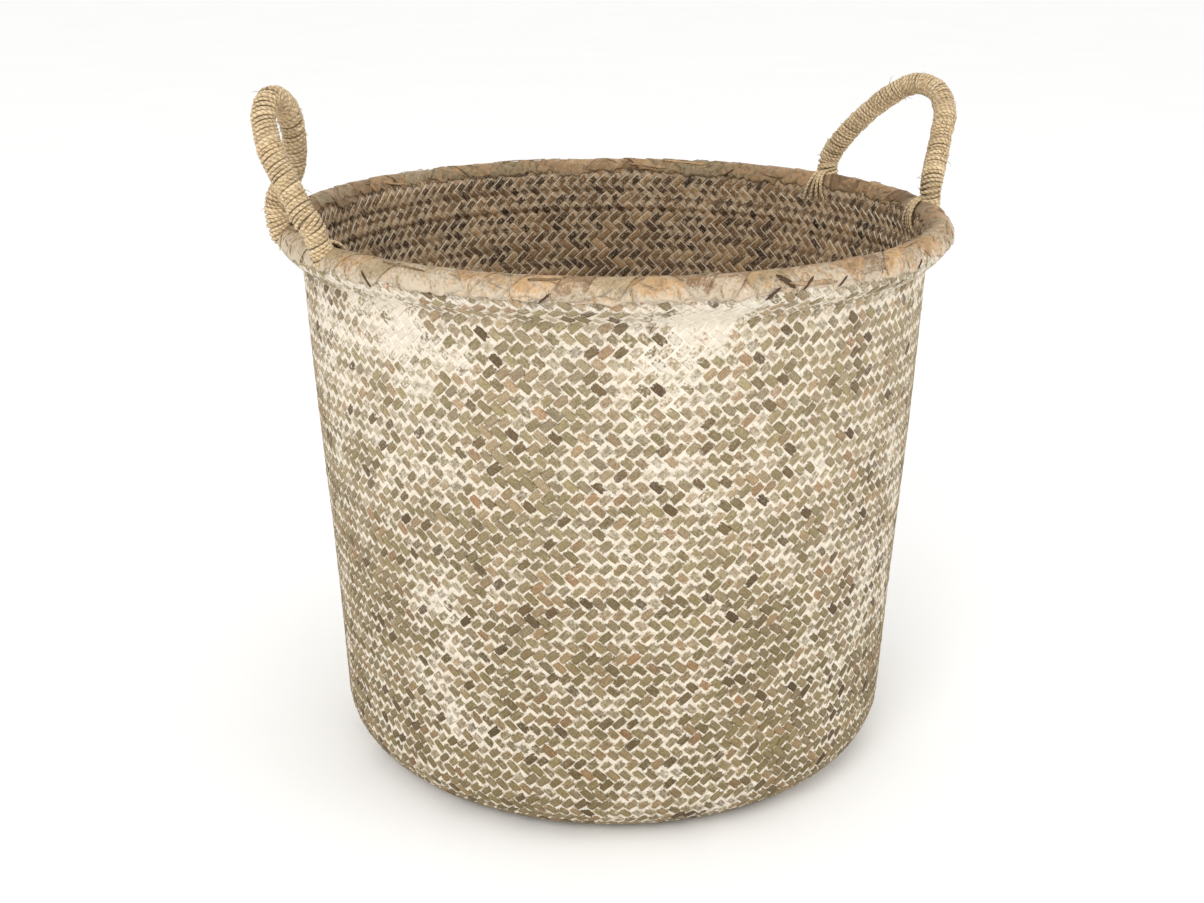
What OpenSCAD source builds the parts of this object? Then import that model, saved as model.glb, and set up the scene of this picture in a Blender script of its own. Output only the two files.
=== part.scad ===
// Tapered round storage basket of plaited seagrass with two twine-wrapped rope handles.
// The origin is the centre of the base on the floor, +Z is up, and the handles face +X and -X.
// All lengths are in millimetres and all angles in degrees.

/* [Basket] */
// Height of the rim's crest above the floor
basket_h = 338; // [320:1:360]
// Diameter of the wall's outside where the folded hem begins
wall_top_d = 377; // [370:0.5:378]
// Diameter that the wall's outside would reach at the floor
wall_floor_d = 346; // [330:1:360]
// Radius of the rounded edge between wall and base
edge_r = 35; // [20:1:45]
// Thickness of the two crossed layers of seagrass
weave_t = 3; // [2:0.5:3.5]

/* [Rim] */
// Diameter of the rim's crest
crest_d = 388; // [386:1:390]
// Width of the rolled rim, across its section
roll_w = 18; // [17:0.5:19]
// Height of the rolled rim's section
roll_h = 24; // [22:1:26]
// Thickness of the leaf band that covers the rim
band_t = 1.7; // [1.2:0.1:1.8]
// Diameter of the grass bundle inside the rim
core_d = 12.4; // [10:0.2:12.4]
// Depth of the folded hem below the leaf band
hem_h = 16; // [14:1:20]
// Number of stitches around the rim, before those under the handles' feet are left out
stitch_count = 60; // [24:4:90]

/* [Rope handles] */
// Diameter of a handle with its twine
rope_d = 14; // [12:0.5:14]
// Diameter of the rope inside the twine
rope_core_d = 9.2; // [7:0.2:10]
// Diameter of the twine
twine_d = 2.2; // [1.6:0.2:2.4]
// Height of the fold line at the handles' feet above the crest
hinge_rise = 9.5; // [9.5:0.5:12]

/* [Right handle] */
// Direction that the right handle faces
right_azimuth = 0; // [-5:1:5]
// Distance of the line through its feet from the basket's axis
right_foot_line = 188; // [184:1:190]
// Half of the distance between its feet
right_half_span = 60; // [56:1:64]

/* [Left handle] */
// Direction that the left handle faces
left_azimuth = 183; // [175:1:190]
// Distance of the line through its feet from the basket's axis
left_foot_line = 199; // [190:1:200]
// Half of the distance between its feet
left_half_span = 35; // [33:1:45]

/* [Hidden] */

// Rim levels, from the crest down
roll_centre_z = basket_h - roll_h / 2;
band_low_z = roll_centre_z + 1;
wall_top_z = roll_centre_z - 5;
hem_low_z = band_low_z - hem_h;
core_z = roll_centre_z + 2.5;
crest_r = crest_d / 2;
roll_out_r = crest_r + roll_w / 2;

// Wall and rounded edge
taper = atan((wall_top_d - wall_floor_d) / 2 / hem_low_z);
function wall_r(z) = wall_floor_d / 2 + z * tan(taper);
edge_centre_r = wall_r(edge_r) - edge_r / cos(taper);

// Rope, twine and the gaps between them
rope_r = rope_d / 2;
twine_r = twine_d / 2;
hinge_z = basket_h + hinge_rise;
foot_gap = 0.5;
foot_top_z = hinge_z - rope_r - foot_gap;
foot_low_z = band_low_z + foot_gap;
foot_seat_gap = 0.2;
wrap_gap = 0.4;
rope_sides = 16;
arch_steps = 36;
look = 0.01;
end_steps = 4;

// A handle's first foot is at its route's start, and its second foot at the end
first = 1;
second = -1;

// Lashing strands, each from a foot down the rim's inner side to the wall
strand_count = 3;
strand_spread = 3;
strand_top_r = crest_r - 5.2;
strand_top_z = basket_h + 0.3;
strand_bend_z = roll_centre_z + 7;
strand_low_z = wall_top_z - 10;
strand_gap = 0.7;
knuckle_extra = 0.1;

// Stitches across the lower edge of the leaf band
stitch_r = 0.8;
stitch_h = 8;
stitch_drop = 3;
stitch_slant = 0.8;
stitch_clear = 3.5;

// Points of an arc or of an ellipse around a centre, from one angle to another
function ellipse_arc(centre, radii, from, to, steps) =
    [for (i = [0:steps])
        let (a = from + (to - from) * i / steps)
        centre + [radii.x * cos(a), radii.y * sin(a)]];

// Outline of the woven shell at a depth below its outer face
function shell_line(depth) = concat(
    ellipse_arc([edge_centre_r, edge_r], [edge_r - depth, edge_r - depth], -90, -taper, 10),
    [[wall_r(wall_top_z) - depth / cos(taper), wall_top_z]]);

function reversed(list) = [for (i = [len(list) - 1:-1:0]) list[i]];

// Arches between the feet, by hand: outwards from the feet's line, along it, and up
right_bends = [
    [3, 51, 13.5], [11, 38, 30], [20, 22, 45], [28, 4, 54.5], [32, -15, 51.5],
    [28, -30, 40.5], [18, -42, 29], [7, -53, 12.5]
];
left_bends = [
    [4, 32.5, 7], [8.3, 26, 19.6], [16, 17, 38], [17.5, 9, 53], [14.7, 4, 61], [8.2, -2, 65.5],
    [-1, -8, 62], [-6.6, -13, 52], [-10, -20, 34], [-6.7, -25, 21], [-1, -32, 7.5]
];

// A handle is [azimuth, foot line, half span, route], and its route runs from foot to foot
function route(half_span, bends) = concat([[0, half_span, 0]], bends, [[0, -half_span, 0]]);
right_arch = [right_azimuth, right_foot_line, right_half_span, route(right_half_span, right_bends)];
left_arch = [left_azimuth, left_foot_line, left_half_span, route(left_half_span, left_bends)];

// A place given outwards from the foot line, along it and up from the fold, turned to its handle
function placed(arch, p) =
    let (out = arch[1] + p.x)
    [out * cos(arch[0]) - p.y * sin(arch[0]),
     out * sin(arch[0]) + p.y * cos(arch[0]),
     hinge_z + p.z];

// Direction of a foot from the basket's axis, and the angle between two directions
function foot_direction(arch, side) = arch[0] + side * atan(arch[2] / arch[1]);
function angle_between(a, b) = abs(((a - b) % 360 + 540) % 360 - 180);
foot_directions = [for (arch = [right_arch, left_arch], side = [first, second]) foot_direction(arch, side)];

// A smooth curve through the route's points, at i whole points and a fraction along it
function route_point(r, i, f) =
    let (last = len(r) - 1,
         a = r[max(i - 1, 0)], b = r[i], c = r[min(i + 1, last)], d = r[min(i + 2, last)])
    b + (c - a) * f / 2 + (2 * a - 5 * b + 4 * c - d) * pow(f, 2) / 2
      + (3 * b - a - 3 * c + d) * pow(f, 3) / 2;

// The arch's middle line: s runs from 0 at the first foot to 1 at the second
function arch_point(arch, s) =
    let (r = arch[3], at = min(max(s, 0), 0.9999) * (len(r) - 1), i = floor(at))
    placed(arch, route_point(r, i, at - i));

function unit(v) = v / norm(v);
function arch_direction(arch, s) =
    unit(arch_point(arch, s + look) - arch_point(arch, s - look));

// A circle of points across the direction d, with its first point towards the ropes' inside
function ring(centre, d, r) =
    let (side = unit(cross(d, [centre.y, -centre.x, 0])), top = cross(side, d))
    [for (k = [0:rope_sides - 1])
        let (a = 360 * k / rope_sides)
        centre + r * (cos(a) * side + sin(a) * top)];

// Rings along the whole arch
function arch_rings(arch, r) =
    [for (i = [0:arch_steps])
        let (s = i / arch_steps)
        ring(arch_point(arch, s), arch_direction(arch, s), r)];

// Rings of the rounded end at a foot: way is -1 before the arch and 1 after it
function end_rings(arch, s, r, way) =
    [for (i = [1:end_steps])
        let (a = 85 * i / end_steps, d = arch_direction(arch, s))
        ring(arch_point(arch, s) + way * d * r * sin(a), d, r * cos(a))];

function ring_faces(count) =
    [for (i = [0:count - 2], k = [0:rope_sides - 1])
        let (n = (k + 1) % rope_sides, a = i * rope_sides, b = a + rope_sides)
        each [[a + k, b + k, b + n], [a + k, b + n, a + n]]];

// Solid rope with two rounded ends
module rope_solid(arch, r) {
    rings = concat(reversed(end_rings(arch, 0, r, -1)), arch_rings(arch, r),
                   end_rings(arch, 1, r, 1));
    last = (len(rings) - 1) * rope_sides;
    polyhedron(
        points = [for (one = rings) each one],
        faces = concat(
            ring_faces(len(rings)),
            [[for (k = [0:rope_sides - 1]) k]],
            [[for (k = [rope_sides - 1:-1:0]) last + k]]));
}

// Sleeve around the rope: out along the outer skin, back along the inner one
module rope_sleeve(arch, outer, inner) {
    rings = concat(arch_rings(arch, outer), reversed(arch_rings(arch, inner)));
    count = len(rings);
    last = (count - 1) * rope_sides;
    polyhedron(
        points = [for (one = rings) each one],
        faces = concat(
            ring_faces(count),
            [for (k = [0:rope_sides - 1])
                let (n = (k + 1) % rope_sides)
                each [[last + k, k, n], [last + k, n, last + n]]]));
}

// Everything inside the rim's rolled outline, and a little more
module rim_roll(extra) {
    rotate_extrude($fn = 120)
        polygon(ellipse_arc([crest_r, roll_centre_z], [roll_w, roll_h] / 2 + [extra, extra], 0, 350, 35));
}

// Rope end that sits on the rim like a saddle
module foot(arch, side) {
    at = placed(arch, [0, side * arch[2], foot_low_z - hinge_z]);
    color("tan")
        difference() {
            translate(at) cylinder(h = foot_top_z - foot_low_z, r = rope_r, $fn = 40);
            rim_roll(foot_seat_gap);
        }
}

// One piece of twine between two points
module twine(from, to, r) {
    d = to - from;
    translate(from)
        rotate([0, acos(d.z / norm(d)), atan2(d.y, d.x)])
            cylinder(h = norm(d), r = r, $fn = 16);
}

// Strands that fan out from a foot and go into the wall below the rim
module lashing(arch, side) {
    foot_angle = foot_direction(arch, side);
    bend_r = crest_r - roll_w / 2 - twine_r - strand_gap;
    low_r = wall_r(strand_low_z) - weave_t / cos(taper) - twine_r;
    color("burlywood")
        for (i = [0:strand_count - 1]) {
            fan = i - (strand_count - 1) / 2;
            top = foot_angle + fan * 0.8;
            low = foot_angle + fan * strand_spread;
            middle = (top + low) / 2;
            bend = [bend_r * cos(middle), bend_r * sin(middle), strand_bend_z];
            twine([strand_top_r * cos(top), strand_top_r * sin(top), strand_top_z], bend, twine_r);
            translate(bend) sphere(r = twine_r + knuckle_extra, $fn = 16);
            twine(bend, [low_r * cos(low), low_r * sin(low), strand_low_z], twine_r);
        }
}

module woven_base() {
    color("darkkhaki") cylinder(h = weave_t, r = edge_centre_r, $fn = 120);
}

module woven_wall() {
    color("khaki")
        rotate_extrude($fn = 120)
            polygon(concat(shell_line(0), reversed(shell_line(weave_t))));
}

// Top edge of the weave, folded outwards and down under the grass bundle
module folded_hem() {
    color("palegoldenrod")
        rotate_extrude($fn = 120)
            difference() {
                polygon([
                    [wall_r(hem_low_z), hem_low_z],
                    [roll_out_r - 9, hem_low_z + 4.8],
                    [roll_out_r - 3.5, hem_low_z + 9],
                    [roll_out_r - 0.6, hem_low_z + 13],
                    [roll_out_r, band_low_z],
                    [roll_out_r - band_t, band_low_z],
                    [wall_r(wall_top_z), wall_top_z]]);
                translate([crest_r + 0.5, core_z]) circle(d = core_d, $fn = 48);
            }
}

module rim_core() {
    color("olivedrab")
        rotate_extrude($fn = 120)
            translate([crest_r + 0.5, core_z]) circle(d = core_d, $fn = 48);
}

module rim_band() {
    centre = [crest_r, roll_centre_z];
    radii = [roll_w, roll_h] / 2;
    inner = radii - [band_t, band_t];
    outer_start = asin((band_low_z - roll_centre_z) / radii.y);
    inner_start = asin((band_low_z - roll_centre_z) / inner.y);
    outer_end = 180 + asin((roll_centre_z - wall_top_z) / radii.y);
    inner_end = 180 + asin((roll_centre_z - wall_top_z) / inner.y);
    color("peru")
        rotate_extrude($fn = 120)
            polygon(concat(
                ellipse_arc(centre, radii, outer_start, outer_end, 24),
                ellipse_arc(centre, inner, inner_end, inner_start, 24)));
}

module rim_stitches() {
    r = roll_out_r + stitch_r + 0.1;
    low_z = band_low_z - stitch_drop;
    color("saddlebrown")
        for (i = [0:stitch_count - 1]) {
            a = 360 * i / stitch_count;
            b = a + stitch_slant;
            if (min([for (f = foot_directions) angle_between(a, f)]) > stitch_clear)
                twine([r * cos(a), r * sin(a), low_z],
                      [r * cos(b), r * sin(b), low_z + stitch_h], stitch_r);
        }
}

module right_rope_core() { color("sienna") rope_solid(right_arch, rope_core_d / 2); }
module right_twine_wrap() { color("goldenrod") rope_sleeve(right_arch, rope_r, rope_core_d / 2 + wrap_gap); }
module left_rope_core() { color("sienna") rope_solid(left_arch, rope_core_d / 2); }
module left_twine_wrap() { color("goldenrod") rope_sleeve(left_arch, rope_r, rope_core_d / 2 + wrap_gap); }

woven_base();
woven_wall();
folded_hem();
rim_core();
rim_band();
rim_stitches();
right_rope_core();
right_twine_wrap();
left_rope_core();
left_twine_wrap();
foot(right_arch, first);  // right_back_foot
foot(right_arch, second);  // right_front_foot
foot(left_arch, second);  // left_back_foot
foot(left_arch, first);  // left_front_foot
lashing(right_arch, first);  // right_back_lashing
lashing(right_arch, second);  // right_front_lashing
lashing(left_arch, second);  // left_back_lashing
lashing(left_arch, first);  // left_front_lashing
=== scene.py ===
"""A whitewashed, plaited seagrass basket with a leaf-bound rim and two twine-wrapped rope handles."""
import math

import bpy
import numpy as np
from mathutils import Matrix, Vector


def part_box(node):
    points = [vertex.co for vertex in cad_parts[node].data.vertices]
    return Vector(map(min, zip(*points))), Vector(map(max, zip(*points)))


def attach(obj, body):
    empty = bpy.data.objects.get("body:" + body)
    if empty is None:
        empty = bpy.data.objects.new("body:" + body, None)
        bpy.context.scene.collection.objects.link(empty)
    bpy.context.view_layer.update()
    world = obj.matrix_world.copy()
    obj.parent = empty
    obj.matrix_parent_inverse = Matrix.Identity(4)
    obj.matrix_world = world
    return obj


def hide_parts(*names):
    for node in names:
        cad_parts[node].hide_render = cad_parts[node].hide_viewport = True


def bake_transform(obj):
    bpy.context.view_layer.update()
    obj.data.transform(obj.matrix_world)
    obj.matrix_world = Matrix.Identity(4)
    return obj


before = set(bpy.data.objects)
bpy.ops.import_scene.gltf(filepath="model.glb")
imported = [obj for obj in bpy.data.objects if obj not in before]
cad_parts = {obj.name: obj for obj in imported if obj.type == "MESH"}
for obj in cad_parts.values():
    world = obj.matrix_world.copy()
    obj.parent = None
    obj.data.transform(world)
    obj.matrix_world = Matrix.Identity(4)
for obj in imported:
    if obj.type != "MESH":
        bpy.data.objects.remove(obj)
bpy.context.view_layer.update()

# Lengths below are in millimetres. Radii are measured from the basket's axis.
MM = 0.001
rng = np.random.default_rng(20)


def box_mm(node):
    """Lowest and highest corner of a CAD node, in millimetres."""
    low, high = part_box(node)
    return np.array(low) / MM, np.array(high) / MM


# ---------------------------------------------------------------- sizes

wall_box = box_mm("woven_wall")
hem_box = box_mm("folded_hem")
band_box = box_mm("rim_band")

WEAVE_T = 3.0             # thickness of the plaited sheet
FLOOR_R = 173.0           # the wall's outer face, carried down to the floor
EDGE_R = 35.0             # outer radius of the rounded lower edge
WALL_TOP_R = wall_box[1][0]
WALL_TOP_Z = wall_box[1][2]
TAPER = math.atan2(WALL_TOP_R - FLOOR_R, WALL_TOP_Z)
EDGE_CENTRE_R = FLOOR_R - EDGE_R * (1 - math.sin(TAPER)) / math.cos(TAPER)

RIM_TOP_Z = band_box[1][2]
RIM_OUT_R = hem_box[1][0]
ROLL_HALF_W = 9.0         # half the rolled rim's width
ROLL_HALF_H = 12.0        # half the rolled rim's height
ROLL_INSET = 0.6          # a stand-off on the rim counts from this far inside the roll's outline
CREST_R = RIM_OUT_R - ROLL_HALF_W
ROLL_Z = RIM_TOP_Z - ROLL_HALF_H
HEM_LOW_Z = hem_box[0][2]

STRANDS = 152             # strands that run each way round the wall
ROW_H = 3.38              # height of a row of crossings
STRAND_FILL = 0.98        # a strand's width, as a share of the room that it has
STRAND_HALF_T = 0.62      # half a strand's thickness
WAVE = 0.68               # how far a strand rises and dips about the sheet's middle
TWILL = 4                 # crossings in one repeat: over two, under two
STRANDS_PER_PIECE = 19

PAINT_LEVEL = 0.54        # about how heavily the wall is painted, on average
FILM_LIFT = 0.54          # how far the paint's surface lies outside the sheet's middle, on average
FILM_T = 0.65             # thickness of the paint in the seams
FILM_COLUMNS = 400        # how many points of the paint's surface lie in one ring
FILM_ROW = 0.9            # distance between its rings, in rows of crossings

# A strand's number picks its random tones, and the waves of a strip on the rim. Each kind of strand counts
# from its own number, and the rim's short fibres go on from its strips.
BASE_NUMBERS = 600
BASE_SECOND_WAY = 200
STRIP_NUMBERS = 300
FIBRE_NUMBERS = 100
CORE_NUMBER = 50
TWINE_NUMBERS = 60
HAIR_NUMBERS = 70
LASHING_NUMBERS = 80

# ---------------------------------------------------------------- small geometry helpers


def unit(v):
    """The same directions, each at a length of 1."""
    return v / np.maximum(np.linalg.norm(v, axis=-1, keepdims=True), 1e-9)


def wander(positions, step, size):
    """A smooth random value along a strand: a new value every step, and straight lines between them."""
    count = int((positions.max() - positions.min()) / step) + 3
    knots = positions.min() + step * np.arange(count)
    return np.interp(positions, knots, rng.normal(0, size, count))


def catmull_rom(points, per_span):
    """A smooth curve through the points, with per_span samples between each pair."""
    p = np.array(points, float)
    p = np.vstack([2 * p[0] - p[1], p, 2 * p[-1] - p[-2]])
    t = np.linspace(0, 1, per_span, endpoint=False)[:, None]
    spans = []
    for a, b, c, d in zip(p[:-3], p[1:-2], p[2:-1], p[3:]):
        spans.append(0.5 * (2 * b + (c - a) * t + (2 * a - 5 * b + 4 * c - d) * t**2
                            + (3 * b - a - 3 * c + d) * t**3))
    return np.vstack(spans + [p[-2][None]])


def lengths(points):
    """Distance along a line at each of its points."""
    return np.concatenate([[0], np.cumsum(np.linalg.norm(np.diff(points, axis=0), axis=1))])


def resample(points, step):
    """The same line with points about step apart."""
    s = lengths(points)
    at = np.linspace(0, s[-1], max(3, int(s[-1] / step) + 1))
    return np.stack([np.interp(at, s, points[:, i]) for i in range(3)], axis=1)


def on_ring(radius, angle, z):
    """Points at a radius, an angle in radians and a height."""
    return np.stack(np.broadcast_arrays(radius * np.cos(angle), radius * np.sin(angle), z), axis=-1)


# Section of a flat strand: thin at its sides, and level over most of its width
FLAT_SECTION = np.array([(-1, 0), (-0.62, -1), (0.62, -1), (1, 0), (0.62, 1), (-0.62, 1)], float)


def round_section(sides):
    """A circle of points, for the section of a cord."""
    a = 2 * math.pi * np.arange(sides) / sides
    return np.stack([np.cos(a), np.sin(a)], axis=1)


class Pieces:
    """Gathers swept strips into one mesh.

    Each point also keeps which strand it is on, how far along it is, and where on the section: across runs
    from -1 to 1 from side to side, and face is 1 on the outer side and -1 on the inner. paint is how heavily
    it is painted.
    """

    def __init__(self):
        self.points, self.faces, self.values, self.count = [], [], [], 0

    def add(self, points, faces, strand, along, across, face, paint=0.0):
        n = len(points)
        self.points.append(points)
        self.faces.append(faces + self.count)
        self.values.append(np.stack([np.broadcast_to(v, n) for v in (strand, along, across, face, paint)]))
        self.count += n

    def sweep(self, centre, outward, half_w, half_t, strand, along,
              section=FLAT_SECTION, roll=0.0, paint=0.0):
        """A closed strip along centre. Its section is half_w by half_t, with its face towards outward."""
        n, m = len(centre), len(section)
        tangent = unit(np.gradient(centre, axis=0))
        up = unit(outward - tangent * np.sum(outward * tangent, axis=1, keepdims=True))
        side = np.cross(up, tangent)
        turn = np.broadcast_to(roll, n)[:, None]
        up, side = up * np.cos(turn) - side * np.sin(turn), side * np.cos(turn) + up * np.sin(turn)
        across = np.broadcast_to(half_w, n)[:, None] * section[:, 0]
        height = np.broadcast_to(half_t, n)[:, None] * section[:, 1]
        points = centre[:, None] + side[:, None] * across[..., None] + up[:, None] * height[..., None]
        ring, following = np.arange(m), np.roll(np.arange(m), -1)
        start = m * np.arange(n - 1)[:, None]
        walls = np.stack([start + ring, start + following, start + m + following, start + m + ring], -1)
        fan = np.array([(0, i, i + 1, i + 2) for i in range(1, m - 2, 2)])
        faces = np.vstack([walls.reshape(-1, 4), fan[:, ::-1], fan + m * (n - 1)])
        self.add(points.reshape(-1, 3), faces, strand, np.repeat(np.broadcast_to(along, n), m),
                 np.tile(section[:, 0], n), np.tile(section[:, 1], n),
                 np.repeat(np.broadcast_to(paint, n), m))

    def build(self, name, material, body, stands_for=()):
        """Makes the mesh object. It rides on the body, if one is given."""
        points = np.vstack(self.points) * MM
        faces = np.vstack(self.faces)
        mesh = bpy.data.meshes.new(name)
        mesh.vertices.add(len(points))
        mesh.vertices.foreach_set("co", points.astype(np.float32).ravel())
        mesh.loops.add(faces.size)
        mesh.loops.foreach_set("vertex_index", faces.astype(np.int32).ravel())
        mesh.polygons.add(len(faces))
        mesh.polygons.foreach_set("loop_start", np.arange(0, faces.size, 4, dtype=np.int32))
        mesh.update(calc_edges=True)
        mesh.shade_smooth()
        values = np.hstack(self.values).astype(np.float32)
        for label, row in zip(("strand", "along", "across", "face", "paint"), values):
            mesh.attributes.new(label, "FLOAT", "POINT").data.foreach_set("value", row)
        mesh.materials.append(material)
        piece = bpy.data.objects.new(name, mesh)
        bpy.context.scene.collection.objects.link(piece)
        if body:
            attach(piece, body)
        if stands_for:
            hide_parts(*stands_for)
        return piece


# ---------------------------------------------------------------- material helpers


def colour(red, green, blue):
    """A colour given as 0 to 255 on screen, as the linear values that shaders take."""
    def linear(c):
        c /= 255
        return c / 12.92 if c <= 0.04045 else ((c + 0.055) / 1.055) ** 2.4
    return (linear(red), linear(green), linear(blue), 1.0)


class Shader:
    """Builds one node material. Values may be numbers, colours or the sockets that other calls return."""

    def __init__(self, name):
        self.material = bpy.data.materials.new(name)
        self.material.use_nodes = True
        self.tree = self.material.node_tree
        self.tree.nodes.clear()

    def node(self, kind, **settings):
        made = self.tree.nodes.new(kind)
        for key, value in settings.items():
            setattr(made, key, value)
        return made

    def put(self, value, socket):
        if isinstance(value, bpy.types.NodeSocket):
            self.tree.links.new(value, socket)
        else:
            socket.default_value = value

    def math(self, operation, a, b=0.0):
        made = self.node("ShaderNodeMath", operation=operation)
        self.put(a, made.inputs[0])
        self.put(b, made.inputs[1])
        return made.outputs[0]

    def attribute(self, name):
        return self.node("ShaderNodeAttribute", attribute_name=name).outputs["Fac"]

    def position(self):
        return self.node("ShaderNodeTexCoord").outputs["Object"]

    def vector(self, x=0.0, y=0.0, z=0.0):
        made = self.node("ShaderNodeCombineXYZ")
        for value, socket in zip((x, y, z), made.inputs):
            self.put(value, socket)
        return made.outputs[0]

    def stretch(self, vector, scale):
        made = self.node("ShaderNodeMapping")
        self.put(vector, made.inputs["Vector"])
        made.inputs["Scale"].default_value = scale
        return made.outputs[0]

    def noise(self, vector, scale, detail=2.0, roughness=0.5):
        made = self.node("ShaderNodeTexNoise")
        self.put(vector, made.inputs["Vector"])
        made.inputs["Scale"].default_value = scale
        made.inputs["Detail"].default_value = detail
        made.inputs["Roughness"].default_value = roughness
        return made.outputs["Fac"]

    def random(self, vector):
        """Three random numbers that stay the same for the same vector."""
        white = self.node("ShaderNodeTexWhiteNoise", noise_dimensions="3D")
        self.put(vector, white.inputs["Vector"])
        parts = self.node("ShaderNodeSeparateColor")
        self.put(white.outputs["Color"], parts.inputs[0])
        return parts.outputs[0], parts.outputs[1], parts.outputs[2]

    def step(self, value, low, high, to_low=0.0, to_high=1.0):
        """Goes smoothly from to_low to to_high while value goes from low to high."""
        made = self.node("ShaderNodeMapRange", interpolation_type="SMOOTHSTEP")
        for item, socket in zip((value, low, high, to_low, to_high), made.inputs):
            self.put(item, socket)
        return made.outputs[0]

    def sum(self, *terms):
        """The terms' values, each times its weight, added up."""
        total = 0.0
        for value, weight in terms:
            made = self.node("ShaderNodeMath", operation="MULTIPLY_ADD")
            for item, socket in zip((value, weight, total), made.inputs):
                self.put(item, socket)
            total = made.outputs[0]
        return total

    def height(self, vector):
        """The z part of a vector."""
        made = self.node("ShaderNodeSeparateXYZ")
        self.put(vector, made.inputs[0])
        return made.outputs[2]

    def ramp(self, value, stops):
        """Colours at places from 0 to 1, with straight lines between them."""
        made = self.node("ShaderNodeValToRGB")
        while len(made.color_ramp.elements) < len(stops):
            made.color_ramp.elements.new(1.0)
        for element, (place, tint) in zip(made.color_ramp.elements, stops):
            element.position = place
            element.color = tint
        self.put(value, made.inputs[0])
        return made.outputs[0]

    def mix(self, share, a, b, blend="MIX"):
        made = self.node("ShaderNodeMix", data_type="RGBA", blend_type=blend)
        self.put(share, made.inputs["Factor"])
        self.put(a, made.inputs["A"])
        self.put(b, made.inputs["B"])
        return next(o for o in made.outputs if o.type == "RGBA")

    def scaled(self, tint, amount):
        """A colour made lighter or darker by a varying amount."""
        made = self.node("ShaderNodeVectorMath", operation="SCALE")
        self.put(tint if isinstance(tint, bpy.types.NodeSocket) else tint[:3], made.inputs[0])
        self.put(amount, made.inputs["Scale"])
        return made.outputs[0]

    def done(self, base, roughness, height, distance, specular=0.3, sheen=0.0):
        """Ends the material in a Principled shader with a bump from height, distance in millimetres deep."""
        shader = self.node("ShaderNodeBsdfPrincipled")
        self.put(base, shader.inputs["Base Color"])
        self.put(roughness, shader.inputs["Roughness"])
        shader.inputs["Specular IOR Level"].default_value = specular
        shader.inputs["Sheen Weight"].default_value = sheen
        bump = self.node("ShaderNodeBump")
        bump.inputs["Strength"].default_value = 1.0
        bump.inputs["Distance"].default_value = distance * MM
        self.put(height, bump.inputs["Height"])
        self.put(bump.outputs[0], shader.inputs["Normal"])
        out = self.node("ShaderNodeOutputMaterial")
        self.put(shader.outputs[0], out.inputs["Surface"])
        return self.material


# ---------------------------------------------------------------- materials

WHITEWASH = colour(233, 223, 206)
OUTER_TONES = [
    (0.00, colour(98, 78, 55)), (0.05, colour(118, 99, 71)), (0.14, colour(138, 121, 89)),
    (0.32, colour(154, 139, 103)), (0.50, colour(164, 148, 112)), (0.66, colour(162, 146, 119)),
    (0.82, colour(170, 149, 118)), (0.95, colour(173, 147, 114)), (1.00, colour(172, 136, 103)),
]
INNER_TONES = [
    (0.00, colour(54, 37, 23)), (0.25, colour(84, 61, 39)), (0.55, colour(114, 86, 56)),
    (0.85, colour(140, 108, 73)), (1.00, colour(172, 138, 98)),
]


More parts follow.
